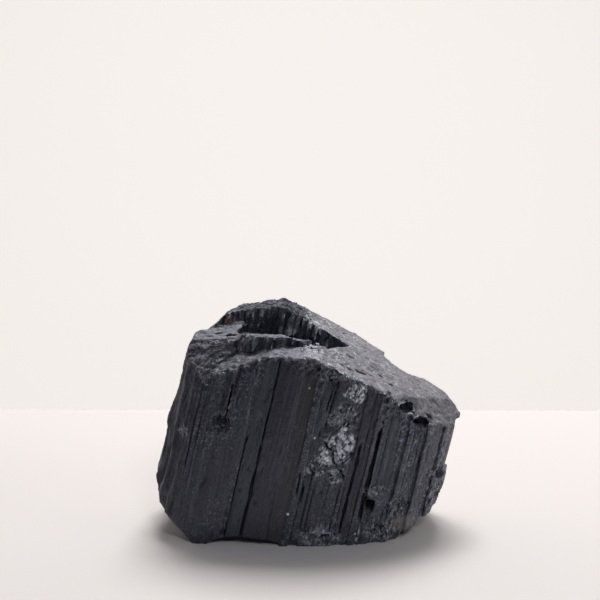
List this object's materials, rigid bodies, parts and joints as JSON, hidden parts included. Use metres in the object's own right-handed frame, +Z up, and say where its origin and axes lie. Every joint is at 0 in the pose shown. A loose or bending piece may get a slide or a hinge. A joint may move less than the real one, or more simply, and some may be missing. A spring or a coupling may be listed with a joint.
{
  "type": "tourmaline crystal",
  "caption": "Rough black tourmaline crystal: a leaning, ribbed prism with a stepped broken top, standing upright on its flat broken base.",
  "frame": {"origin": "centre of the crystal's box, on the ground that its base rests on", "axes": "+Z up; +X along the broad ribbed face, towards the pointed end that the top slopes down to; the broad ribbed face looks towards -Y"},
  "size_m": [0.055, 0.0328, 0.0383],
  "materials": {
    "black_tourmaline": "vitreous black with fine lengthwise striations; dull, dusty grey on the broken top; glittering in the grainy fracture patch"
  },
  "bodies": {
    "root": {"tourmaline_crystal": "black_tourmaline"}
  },
  "joints": []
}
